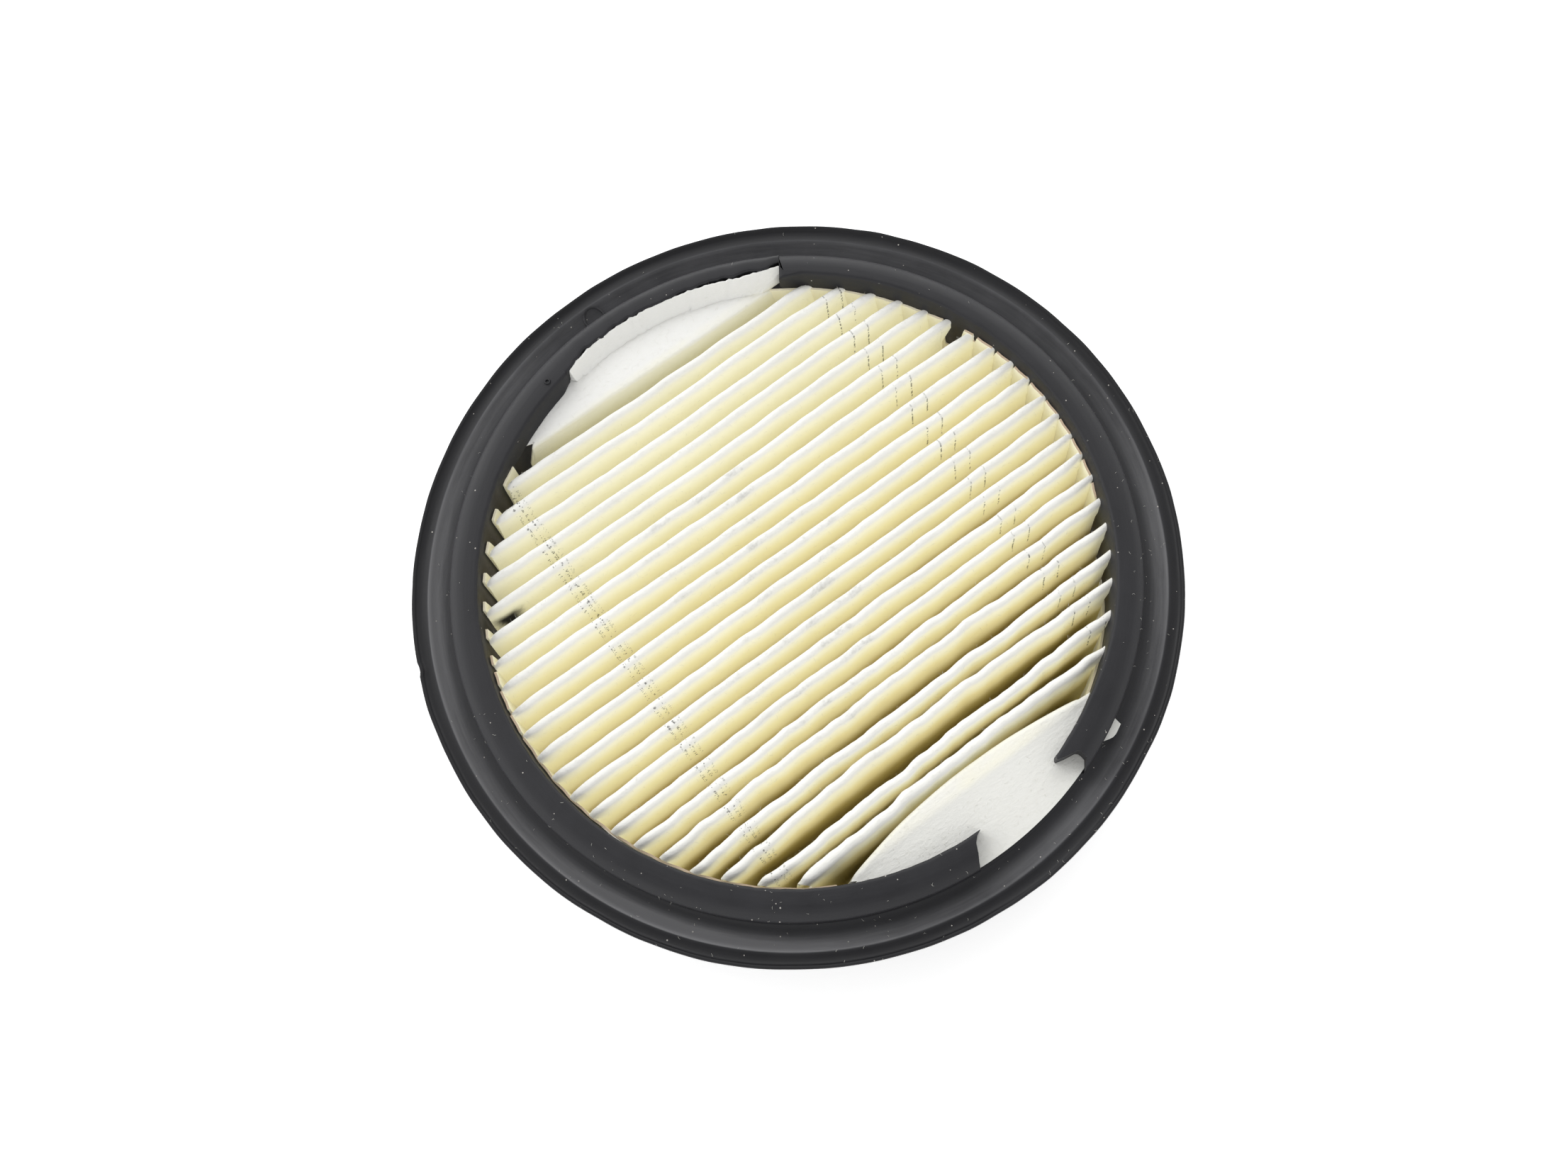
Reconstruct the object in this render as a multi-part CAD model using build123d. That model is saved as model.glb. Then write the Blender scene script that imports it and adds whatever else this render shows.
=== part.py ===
from build123d import *
import os
from math import acos, cos, hypot, radians, sin

# Round panel air filter: a pleated paper pack in a moulded rubber rim.
# Millimetres, +Z up.  The origin is at the centre of the bottom face of the skirt,
# the pleats run along X and the sealing lip is at the top.

# Rim, from the outside in
rim_radius = 102.5          # outer edge of the sealing lip
lip_width = 4.3             # dished lip, from its crest line to the outer edge
channel_width = 6.8         # hollow channel between the lip and the band
band_width = 8.1            # raised inner band, from its outer wall to the opening
skirt_inset = 1.6           # outer wall of the skirt inside the outer wall of the band

# Rim, heights
overall_height = 38.0       # bottom of the skirt to the top of the band
band_rise = 6.0             # top of the band above the edge of the lip
flange_depth = 3.5          # edge of the lip above the underside of the flange

# Rim, details
lip_thickness = 1.0         # flat on the edge of the lip
lip_dish = 1.2              # rise of the lip from its crest line to the edge
underside_bevel = 2.6       # height of the bevel under the lip
bevel_hollow = 0.9          # height of that bevel's curve half-way out
channel_dip = 1.4           # depth of the channel under the crest line, at its middle
channel_foot_dip = 1.1      # the same at the foot of the band
skirt_chamfer = 1.2         # lead-in at the bottom of the skirt
band_land = 3.6             # flat top of the band, measured from the opening
band_slope = 2.2            # drop of the band's top from its land to its outer wall
band_round = 0.8            # the same at the middle of that slope
edge_break = 0.5            # chamfer on the band's inner edge

# Pleated paper pack
target_pitch = 6.6          # pleat pitch, before it is rounded to fill the pack
flap_width = 10.4           # flat end flaps, from the crease to the opening
crest_drop = 4.0            # crests below the top of the band
skirt_recess = 4.0          # valleys above the bottom of the skirt
paper_thickness = 0.6
fold_radius = 0.95          # centre line of the paper at each fold
pack_shift = -1.0           # the pack sits a little off centre, across the pleats
flap_drop = 1.5             # flat end flaps below the crests
flap_cover = 0.9            # rubber left between the edge of a flap and the band's wall

# Paper strips that close the pleat ends
strip_thickness = 0.6
strip_drop = 0.6            # top edge of the strips below the crests
strip_clearance = 1.5       # from the end of a strip to the flap beside it

# Fits
cast_gap = 0.3              # between the paper and the rubber cast around it
glue_gap = 0.3              # between the pleat ends and the strips

# Windows in the band, where the moulding leaves a flap bare: (first, last) in degrees
front_window = (-95.5, -71.0)
back_window = (55.0, 101.0)
back_window_rim = 3.9       # band left standing outside the back window
window_overrun = 1.0        # how far a window's outline runs past the band it cuts

# Worked out from the values above
crest_radius = rim_radius - lip_width
band_radius = crest_radius - channel_width
opening_radius = band_radius - band_width
socket_radius = band_radius - skirt_inset
lip_height = overall_height - band_rise
seat_height = lip_height - flange_depth
crest_height = overall_height - crest_drop
flap_top = crest_height - flap_drop
flap_radius = band_radius - flap_cover
strip_radius = opening_radius - cast_gap
pleat_radius = strip_radius - strip_thickness - glue_gap
crease_offset = opening_radius - flap_width
pleat_count = round(2 * crease_offset / target_pitch) - 1
pleat_pitch = 2 * crease_offset / (pleat_count + 1)
standing = (Align.CENTER, Align.CENTER, Align.MIN)


def turned(vector, angle):
    """Turn a (y, z) direction by an angle in radians."""
    y, z = vector
    return (y * cos(angle) - z * sin(angle), y * sin(angle) + z * cos(angle))


def at(centre, direction, reach):
    """The point that lies at a distance from a centre, along a (y, z) direction."""
    return (centre[0] + direction[0] * reach, centre[1] + direction[1] * reach)


def fold_centres():
    """Centres of all folds across the pack: (y, z, side), side 1 at a crest, -1 in a valley."""
    outside = fold_radius + paper_thickness / 2
    folds = []
    for step in range(2 * pleat_count + 3):
        y = pack_shift - crease_offset + step * pleat_pitch / 2
        if step in (0, 2 * pleat_count + 2):
            folds.append((y, flap_top - outside, 1))
        elif step % 2 == 0:
            folds.append((y, crest_height - outside, 1))
        else:
            folds.append((y, skirt_recess + outside, -1))
    return folds


def flank_normals(folds):
    """The upward normal of the straight flank between each fold and the next."""
    normals = []
    for first, second in zip(folds, folds[1:]):
        run = (second[0] - first[0], second[1] - first[1])
        length = hypot(*run)
        direction = (run[0] / length, run[1] / length)
        normals.append(turned(direction, acos(first[2] * 2 * fold_radius / length)))
    return normals


def paper_edges(offset, y_first, y_last):
    """One face of the folded paper, offset from its centre line (positive is above)."""
    folds = fold_centres()
    normals = [(0, 1)] + flank_normals(folds) + [(0, 1)]
    start = (y_first, folds[0][1] + fold_radius + offset)
    edges = []
    for number, (y, z, side) in enumerate(folds):
        radius = fold_radius + side * offset
        before = at((y, z), normals[number], side * radius)
        after = at((y, z), normals[number + 1], side * radius)
        half = (normals[number][0] + normals[number + 1][0], normals[number][1] + normals[number + 1][1])
        size = hypot(*half)
        middle = at((y, z), (half[0] / size, half[1] / size), side * radius)
        edges.append(Line(start, before))
        edges.append(ThreePointArc(before, middle, after))
        start = after
    edges.append(Line(start, (y_last, folds[-1][1] + fold_radius + offset)))
    return edges


def folded_sheet(half_thickness, reach):
    """The whole folded sheet as a prism along X, before it is cut round."""
    upper = paper_edges(half_thickness, -reach, reach)
    lower = paper_edges(-half_thickness, -reach, reach)
    ends = [Line(upper[0] @ 0, lower[0] @ 0), Line(upper[-1] @ 1, lower[-1] @ 1)]
    outline = Plane.YZ * make_face(upper + lower + ends)
    return extrude(outline, reach, both=True)


def flap_zone(radius, bottom, top, clearance):
    """The two round-backed areas outside the creases, between two heights."""
    low, high = pack_shift - crease_offset + clearance, pack_shift + crease_offset - clearance
    disc = Pos(0, 0, bottom) * Cylinder(radius, top - bottom, align=standing)
    slot = Pos(0, (low + high) / 2, bottom) * Box(3 * radius, high - low, top - bottom, align=standing)
    return disc - slot


def pleated_media():
    """One sheet of filter paper, pleated in the middle and left flat at both ends."""
    sheet = folded_sheet(paper_thickness / 2, flap_radius + 1)
    pack = Cylinder(pleat_radius, overall_height, align=standing)
    return sheet & (pack + flap_zone(flap_radius, flap_top - 2 * paper_thickness, overall_height, 0))


def rim_section():
    """Half section of the rim in the XZ plane."""
    crest_top = lip_height - lip_dish
    channel_foot = crest_top - channel_foot_dip
    lip_bottom = seat_height + underside_bevel
    land_end = opening_radius + band_land
    wall_top = overall_height - band_slope
    slope_middle = (land_end + band_radius) / 2 + band_round / 2
    corners = [
        (opening_radius, 0),
        (socket_radius - skirt_chamfer, 0),
        (socket_radius, skirt_chamfer),
        (socket_radius, seat_height),
        (crest_radius, seat_height),
    ]
    edges = [Line(first, second) for first, second in zip(corners, corners[1:])]
    edges += [
        ThreePointArc(
            (crest_radius, seat_height),
            (crest_radius + lip_width / 2, seat_height + bevel_hollow),
            (rim_radius, lip_bottom),
        ),
        Line((rim_radius, lip_bottom), (rim_radius, lip_height)),
        Line((rim_radius, lip_height), (rim_radius - lip_thickness, lip_height)),
        Line((rim_radius - lip_thickness, lip_height), (crest_radius, crest_top)),
        ThreePointArc(
            (crest_radius, crest_top),
            (crest_radius - channel_width / 2, crest_top - channel_dip),
            (band_radius, channel_foot),
        ),
        Line((band_radius, channel_foot), (band_radius, wall_top)),
        ThreePointArc(
            (band_radius, wall_top),
            (slope_middle, overall_height - band_round),
            (land_end, overall_height),
        ),
        Line((land_end, overall_height), (opening_radius + edge_break, overall_height)),
        Line((opening_radius + edge_break, overall_height), (opening_radius, overall_height - edge_break)),
        Line((opening_radius, overall_height - edge_break), (opening_radius, 0)),
    ]
    return Plane.XZ * make_face(edges)


def on_circle(radius, angle):
    """The point at an angle in degrees on a circle about the origin."""
    return (radius * cos(radians(angle)), radius * sin(radians(angle)))


def window(angles, outer_radius):
    """The space above a flap, between two angles, from the opening out to a radius."""
    first, last = angles
    middle = (first + last) / 2
    inner_radius = opening_radius - window_overrun
    outline = [
        Line(on_circle(inner_radius, first), on_circle(outer_radius, first)),
        ThreePointArc(*[on_circle(outer_radius, angle) for angle in (first, middle, last)]),
        Line(on_circle(outer_radius, last), on_circle(inner_radius, last)),
        ThreePointArc(*[on_circle(inner_radius, angle) for angle in (last, middle, first)]),
    ]
    floor = flap_top + cast_gap
    return Pos(0, 0, floor) * extrude(make_face(outline), overall_height - floor + window_overrun)


def seal_rim():
    """The one-piece rubber moulding: skirt, flange, dished lip, channel and inner band."""
    rim = revolve(rim_section(), Axis.Z, 360)
    pocket_floor = flap_top - paper_thickness - cast_gap
    rim -= flap_zone(flap_radius + cast_gap, pocket_floor, flap_top + cast_gap, cast_gap)
    rim -= window(front_window, band_radius + window_overrun)
    rim -= window(back_window, band_radius - back_window_rim)
    return rim


def end_strip(side):
    """A curved paper strip glued across the pleat ends on one side (1 is +X, -1 is -X)."""
    height = crest_height - strip_drop - skirt_recess
    width = 2 * (crease_offset - strip_clearance)
    ring = Cylinder(strip_radius, height, align=standing)
    ring -= Cylinder(strip_radius - strip_thickness, height, align=standing)
    half = Pos(side * opening_radius / 2, pack_shift, 0) * Box(opening_radius, width, height, align=standing)
    return Pos(0, 0, skirt_recess) * (ring & half)


parts = {
    "seal_rim": seal_rim(),
    "pleated_media": pleated_media(),
    "right_end_strip": end_strip(1),
    "left_end_strip": end_strip(-1),
}

os.makedirs("parts", exist_ok=True)
for name, shape in parts.items():
    shape.label = name
    export_step(shape, os.path.join("parts", name + ".step"))
    print(name, "volume", round(shape.volume), "mm3, solids", len(shape.solids()))
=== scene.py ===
import math

import bmesh
import bpy
from mathutils import Matrix, Vector, noise


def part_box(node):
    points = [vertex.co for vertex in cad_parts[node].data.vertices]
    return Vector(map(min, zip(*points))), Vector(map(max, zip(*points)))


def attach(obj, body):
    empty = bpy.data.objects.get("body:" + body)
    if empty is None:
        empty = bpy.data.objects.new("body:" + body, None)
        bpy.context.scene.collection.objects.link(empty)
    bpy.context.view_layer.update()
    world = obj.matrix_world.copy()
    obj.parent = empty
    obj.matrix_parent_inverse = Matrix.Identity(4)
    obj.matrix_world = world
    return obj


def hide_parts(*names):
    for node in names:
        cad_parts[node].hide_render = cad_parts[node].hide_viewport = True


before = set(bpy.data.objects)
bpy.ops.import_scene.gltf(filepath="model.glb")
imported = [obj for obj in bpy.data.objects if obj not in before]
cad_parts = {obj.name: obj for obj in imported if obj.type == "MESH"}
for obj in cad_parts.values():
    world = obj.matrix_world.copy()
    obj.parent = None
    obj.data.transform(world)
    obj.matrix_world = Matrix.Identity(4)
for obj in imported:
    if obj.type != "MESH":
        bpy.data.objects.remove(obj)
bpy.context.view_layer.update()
print("frame loaded, nodes:", ", ".join(sorted(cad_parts)))

mm = 0.001
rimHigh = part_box("seal_rim")[1] / mm
paperLow, paperHigh = [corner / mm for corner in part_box("pleated_media")]
stripLow, stripHigh = [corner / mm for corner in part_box("right_end_strip")]


class Wire:
    # a node output that can be added, multiplied and compared; each step is one Math node
    def __init__(self, tree, socket):
        self.tree = tree
        self.socket = socket

    def __add__(self, other): return mathStep(self.tree, "ADD", self, other)
    def __radd__(self, other): return mathStep(self.tree, "ADD", other, self)
    def __sub__(self, other): return mathStep(self.tree, "SUBTRACT", self, other)
    def __rsub__(self, other): return mathStep(self.tree, "SUBTRACT", other, self)
    def __mul__(self, other): return mathStep(self.tree, "MULTIPLY", self, other)
    def __rmul__(self, other): return mathStep(self.tree, "MULTIPLY", other, self)
    def __truediv__(self, other): return mathStep(self.tree, "DIVIDE", self, other)
    def __rtruediv__(self, other): return mathStep(self.tree, "DIVIDE", other, self)
    def __gt__(self, other): return mathStep(self.tree, "GREATER_THAN", self, other)
    def __lt__(self, other): return mathStep(self.tree, "LESS_THAN", self, other)
    def __abs__(self): return mathStep(self.tree, "ABSOLUTE", self)

    def to(self, operation, *others):
        return mathStep(self.tree, operation, self, *others)


def plug(tree, value, socket):
    if isinstance(value, Wire):
        tree.links.new(value.socket, socket)
    else:
        socket.default_value = value


def mathStep(tree, operation, *values):
    node = tree.nodes.new("ShaderNodeMath")
    node.operation = operation
    for value, socket in zip(values, node.inputs):
        plug(tree, value, socket)
    return Wire(tree, node.outputs[0])


def plugAll(node, **values):
    # a node's inputs by name, with spaces written as underscores
    for name, value in values.items():
        plug(node.id_data, value, node.inputs[name.replace("_", " ")])


def addNode(tree, kind, settings=None, **values):
    node = tree.nodes.new(kind)
    for name, value in (settings or {}).items():
        setattr(node, name, value)
    plugAll(node, **values)
    return node


def out(node, name=0):
    return Wire(node.id_data, node.outputs[name])


def pick(test, whenTrue, whenFalse):
    # a choice by a test that is 1 or 0
    return whenFalse + (whenTrue - whenFalse) * test


def smoothRamp(value, low, high):
    # 0 below low, 1 above high, eased between
    node = addNode(value.tree, "ShaderNodeMapRange", {"interpolation_type": "SMOOTHSTEP"},
                   Value=value, From_Min=low, From_Max=high)
    return out(node)


def ripple(tree, x, y, z, detail=1.0):
    # smooth noise, about -1 to 1, at a place given in noise units
    place = addNode(tree, "ShaderNodeCombineXYZ", X=x, Y=y, Z=z)
    node = addNode(tree, "ShaderNodeTexNoise", Vector=out(place), Scale=1.0, Detail=detail, Roughness=0.5)
    return (out(node) - 0.5) * 2.6


def newGroup(treeKind, name, inputs, outputName, outputKind):
    # a node group with named inputs as (name, kind, value or none), and a way to reach them
    tree = bpy.data.node_groups.new(name, treeKind)
    for label, kind, *value in inputs:
        socket = tree.interface.new_socket(name=label, in_out="INPUT", socket_type="NodeSocket" + kind)
        if value:
            socket.default_value = value[0]
    tree.interface.new_socket(name=outputName, in_out="OUTPUT", socket_type="NodeSocket" + outputKind)
    source = tree.nodes.new("NodeGroupInput")
    return tree, lambda label: Wire(tree, source.outputs[label])


def newTree(name, inputs):
    return newGroup("GeometryNodeTree", name, [("Geometry", "Geometry")] + inputs, "Geometry", "Geometry")


def closeTree(tree, geometry, finish):
    # every tree ends in Realize Instances and Set Material
    real = addNode(tree, "GeometryNodeRealizeInstances", Geometry=geometry)
    painted = addNode(tree, "GeometryNodeSetMaterial", Geometry=out(real), Material=finish)
    end = tree.nodes.new("NodeGroupOutput")
    tree.links.new(painted.outputs[0], end.inputs[0])


def runTree(name, tree, values, startMesh=None, wall=0):
    # an object made by a tree with named inputs, turned into a plain mesh
    piece = bpy.data.objects.new(name, startMesh or bpy.data.meshes.new(name))
    bpy.context.scene.collection.objects.link(piece)
    modifier = piece.modifiers.new(tree.name, "NODES")
    modifier.node_group = tree
    sockets = {item.name: item.identifier for item in tree.interface.items_tree if item.in_out == "INPUT"}
    for label, value in values.items():
        modifier[sockets[label]] = value
    if wall:
        solid = piece.modifiers.new("paperWall", "SOLIDIFY")
        solid.thickness = wall * mm
        solid.offset = 0
    bpy.context.view_layer.update()
    evaluated = piece.evaluated_get(bpy.context.evaluated_depsgraph_get())
    mesh = bpy.data.meshes.new_from_object(evaluated)
    piece.modifiers.clear()
    piece.data = mesh
    mesh.name = name
    mesh.polygons.foreach_set("use_smooth", [True] * len(mesh.polygons))
    print(name, len(mesh.polygons), "faces")
    return piece


def newShaderGroup(name, output, **sizes):
    numbers = [(label.replace("_", " "), "Float", size) for label, size in sizes.items()]
    return newGroup("ShaderNodeTree", name, [("Vector", "Vector")] + numbers, output, "Float")


def finishShaderGroup(tree, result):
    end = tree.nodes.new("NodeGroupOutput")
    tree.links.new(result.socket, end.inputs[0])
    return tree


def softMottleGroup():
    # broad cloudy patches with a finer layer in them, 0 to 1
    tree, given = newShaderGroup("softMottle", "Mask", Size_mm=20.0, Contrast=1.0)
    broad = out(addNode(tree, "ShaderNodeTexNoise", Vector=given("Vector"),
                        Scale=1000 / given("Size mm"), Detail=2.0))
    fine = out(addNode(tree, "ShaderNodeTexNoise", Vector=given("Vector"),
                       Scale=6500 / given("Size mm"), Detail=3.0))
    mixed = (broad * 0.7 + fine * 0.3 - 0.5) * given("Contrast") + 0.5
    return finishShaderGroup(tree, mixed.to("MINIMUM", 1.0).to("MAXIMUM", 0.0))


def fineGrainGroup():
    # short fibres or skin grain as a height; Stretch above 1 draws it out along X
    tree, given = newShaderGroup("fineGrain", "Height", Size_mm=0.5, Stretch=1.0)
    parts = addNode(tree, "ShaderNodeSeparateXYZ", Vector=given("Vector"))
    drawn = addNode(tree, "ShaderNodeCombineXYZ", X=out(parts, 0) / given("Stretch"), Y=out(parts, 1),
                    Z=out(parts, 2))
    fibres = out(addNode(tree, "ShaderNodeTexNoise", Vector=out(drawn), Scale=1000 / given("Size mm"),
                         Detail=4.0, Roughness=0.6, Distortion=0.4))
    lumps = out(addNode(tree, "ShaderNodeTexNoise", Vector=given("Vector"), Scale=260 / given("Size mm")))
    return finishShaderGroup(tree, fibres * 0.65 + lumps * 0.35)


def fleckGroup():
    # scattered round flecks of uneven size, 1 on a fleck
    tree, given = newShaderGroup("flecks", "Mask", Spacing_mm=5.0, Radius_mm=0.2, Share=0.5)
    cells = addNode(tree, "ShaderNodeTexVoronoi", Vector=given("Vector"), Scale=1000 / given("Spacing mm"))
    colour = addNode(tree, "ShaderNodeSeparateColor", Color=out(cells, "Color"))
    reach = given("Radius mm") / given("Spacing mm") * (0.35 + out(colour, 1))
    inside = 1.0 - smoothRamp(out(cells, "Distance"), reach * 0.6, reach)
    return finishShaderGroup(tree, inside * (out(colour, 0) < given("Share")))


softMottle = softMottleGroup()
fineGrain = fineGrainGroup()
flecks = fleckGroup()


def useGroup(tree, group, **values):
    return out(addNode(tree, "ShaderNodeGroup", {"node_tree": group}, **values))


def newMaterial(name):
    material = bpy.data.materials.new(name)
    material.use_nodes = True
    tree = material.node_tree
    coordinates = tree.nodes.new("ShaderNodeTexCoord")
    place = out(coordinates, "Object")
    split = addNode(tree, "ShaderNodeSeparateXYZ", Vector=place)
    inMm = [out(split, axis) * 1000 for axis in range(3)]
    return material, tree, tree.nodes["Principled BSDF"], place, inMm


def mixColour(tree, mask, first, second):
    node = tree.nodes.new("ShaderNodeMix")
    node.data_type = "RGBA"
    plug(tree, mask, node.inputs[0])
    for colour, socket in ((first, node.inputs[6]), (second, node.inputs[7])):
        plug(tree, colour if isinstance(colour, Wire) else (*colour, 1), socket)
    return Wire(tree, node.outputs[2])


def bumpFrom(tree, shader, height, depth):
    bump = addNode(tree, "ShaderNodeBump", Strength=1.0, Distance=depth * mm, Height=height)
    tree.links.new(bump.outputs[0], shader.inputs["Normal"])


rubberLook = {
    "skin": (0.007, 0.007, 0.0085),  # clean moulded rubber
    "bloom": (0.030, 0.030, 0.035),  # where the surface has gone chalky
    "dustAndHighlight": (0.135, 0.135, 0.140),  # dust against the crest of the channel, with a painted highlight of the lamp's reflection
    "lipSkin": (0.004, 0.004, 0.0055),  # glossier, blacker edge of the lip
    "dust": (0.42, 0.40, 0.37),
    "roughness": 0.38,
    "specular": 0.34,
    "grainDepth": 0.05,
    "speckSpacing": 2.3,
    "speckRadius": 0.2,
    "speckShare": 0.5,
    # where the painted highlight and the dust lie thickest, as (degrees, strength)
    "dustAndHighlightPlaces": [(-32, 0.65), (118, 0.35), (150, 0.85), (178, 0.25), (212, 1.25), (238, 0.4)],
}


def rimRubber():
    material, tree, shader, place, (x, y, z) = newMaterial("rimRubber")
    radius = (x * x + y * y).to("SQRT")
    crest = rimHigh.x - rim["lipWidth"]
    onLip = smoothRamp(radius, crest + 0.1, crest + 1.0) * smoothRamp(z, 29.0, 30.4)
    inChannel = smoothRamp(radius, crest - rim["channelWidth"], crest - 1.0) * smoothRamp(z, 29.0, 29.3)
    inChannel = inChannel * smoothRamp(radius, crest + 0.4, crest - 0.2)
    mottle = useGroup(tree, softMottle, Vector=place, Size_mm=34.0, Contrast=1.7)
    scuffs = useGroup(tree, softMottle, Vector=place, Size_mm=7.0, Contrast=2.6)
    drawn = addNode(tree, "ShaderNodeCombineXYZ", X=x / radius * 9, Y=y / radius * 9, Z=radius * 1.6)
    sweep = out(addNode(tree, "ShaderNodeTexNoise", Vector=out(drawn), Scale=1.0, Detail=3.0))
    grain = useGroup(tree, fineGrain, Vector=place, Size_mm=0.45)
    specks = useGroup(tree, flecks, Vector=place, Spacing_mm=rubberLook["speckSpacing"],
                      Radius_mm=rubberLook["speckRadius"], Share=rubberLook["speckShare"])
    chalk = (mottle * 0.5 + scuffs * 0.2 + sweep * 0.3) * (0.6 + inChannel * 0.6)
    colour = mixColour(tree, chalk, rubberLook["skin"], rubberLook["bloom"])
    # painted highlight mixed with dust: the channel's outer slope is lighter towards the crest, most of all at
    # the angles that face the lamp
    thick = 0.45 * mottle + 0.3 * sweep
    for degrees, strength in rubberLook["dustAndHighlightPlaces"]:
        aimX, aimY = math.cos(math.radians(degrees)), math.sin(math.radians(degrees))
        facing = ((x * aimX + y * aimY) / radius).to("MAXIMUM", 0.0)
        thick = thick + facing.to("POWER", 16.0) * strength * (0.6 + 0.8 * sweep)
    dustAndHighlightMask = smoothRamp(radius, crest - 7.0, crest - 1.5) * inChannel * thick
    colour = mixColour(tree, dustAndHighlightMask, colour, rubberLook["dustAndHighlight"])
    colour = mixColour(tree, onLip * 0.85, colour, rubberLook["lipSkin"])
    colour = mixColour(tree, specks * smoothRamp(z, 27, 30), colour, rubberLook["dust"])
    gloss = rubberLook["roughness"] + mottle * 0.16 + scuffs * 0.08 - onLip * 0.06 + specks * 0.3
    plugAll(shader, Base_Color=colour, Roughness=gloss, Specular_IOR_Level=rubberLook["specular"])
    bumpFrom(tree, shader, grain * 0.6 + sweep * 0.5 + specks * 1.5, rubberLook["grainDepth"])
    return material


paperLook = {
    "crest": (0.785, 0.782, 0.75),
    # flank, deep and bottom are painted shade: yellower and then browner further down between the pleats
    "flank": (0.79, 0.77, 0.64),
    "deepShade": (0.83, 0.775, 0.53),
    "paleBackShade": (0.80, 0.79, 0.69),  # painted shade, lighter on the pleats towards the back
    "bottom": (0.60, 0.46, 0.17),
    "flap": (0.695, 0.695, 0.665),  # flap at the front, painted darker as shade
    # the back flap, painted lighter as lit
    "backFlapLit": (0.81, 0.81, 0.79),
    "frontLowShade": (0.76, 0.66, 0.31),  # painted shade on the low parts of the pleats near the front
    "topGlow": (1.0, 0.99, 0.92),
    "glow": (0.95, 0.92, 0.66),  # light that comes through the paper between the pleats
    "lowGlow": (0.45, 0.33, 0.10),  # the same near the bottom folds
    "ink": (0.10, 0.10, 0.095),
    "smear": (0.02, 0.02, 0.022),  # one smear of rubber on a pleat at the left
    "smearPlace": (-67.5, 39.0),
    "stain": (0.66, 0.64, 0.56),
    "rightLines": (57.7, 52.7),  # two thin guide lines, their distance along X
    "rightLean": 0.022,
    "leftLines": ((-50.5, 0.9), (-48.5, 1.0), (-46.9, 0.5)),  # rows of specks, with how dark each is
    "leftLean": 0.012,
    "inkReach": (12.5, 11.0),  # how deep the lines can be followed between the pleats
    "specular": 0.2,
    "glowStrength": 0.21,
    "grainDepth": 0.24,
}


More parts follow.
